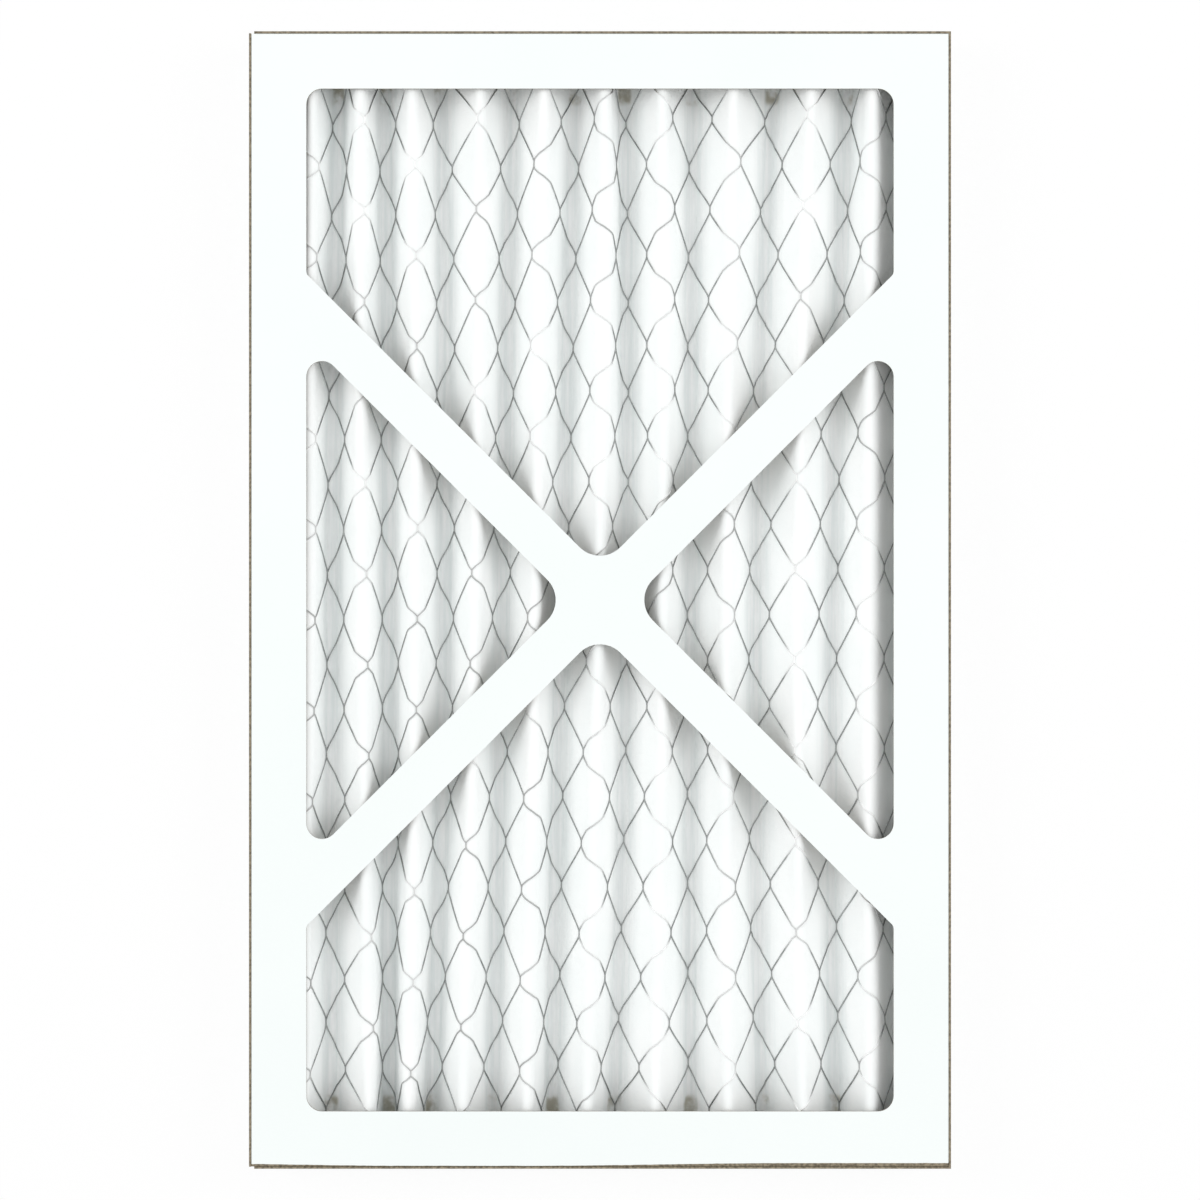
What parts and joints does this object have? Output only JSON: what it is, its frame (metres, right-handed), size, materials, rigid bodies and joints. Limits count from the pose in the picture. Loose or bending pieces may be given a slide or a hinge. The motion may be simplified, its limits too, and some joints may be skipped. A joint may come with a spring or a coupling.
{
  "type": "pleated panel air filter",
  "caption": "Rectangular pleated panel air filter: white die-cut paperboard frame with an X brace over a pleated non-woven sheet backed by expanded metal.",
  "frame": {"origin": "middle of the back panel's outer face, which the filter lies on", "axes": "+X across the filter to the right, +Y along its pleats and its length, +Z out of the front, the side with the expanded metal"},
  "size_m": [0.245, 0.397, 0.019],
  "materials": {
    "white_board": "white clay-coated paperboard, satin outside, brown kraft at the cut edges and inside",
    "filter_media": "soft white non-woven of polyester and cotton",
    "expanded_metal": "thin dull metal, slit and expanded",
    "hot_melt": "amber hot-melt adhesive"
  },
  "bodies": {
    "root": {"back_frame": "white_board", "front_frame": "white_board", "pleated_media": "filter_media", "wire_support": "expanded_metal", "end_seal_top": "hot_melt", "end_seal_bottom": "hot_melt", "side_seal_left": "hot_melt", "side_seal_right": "hot_melt", "strap_glue_front": "hot_melt", "strap_glue_back": "hot_melt"}
  },
  "joints": []
}
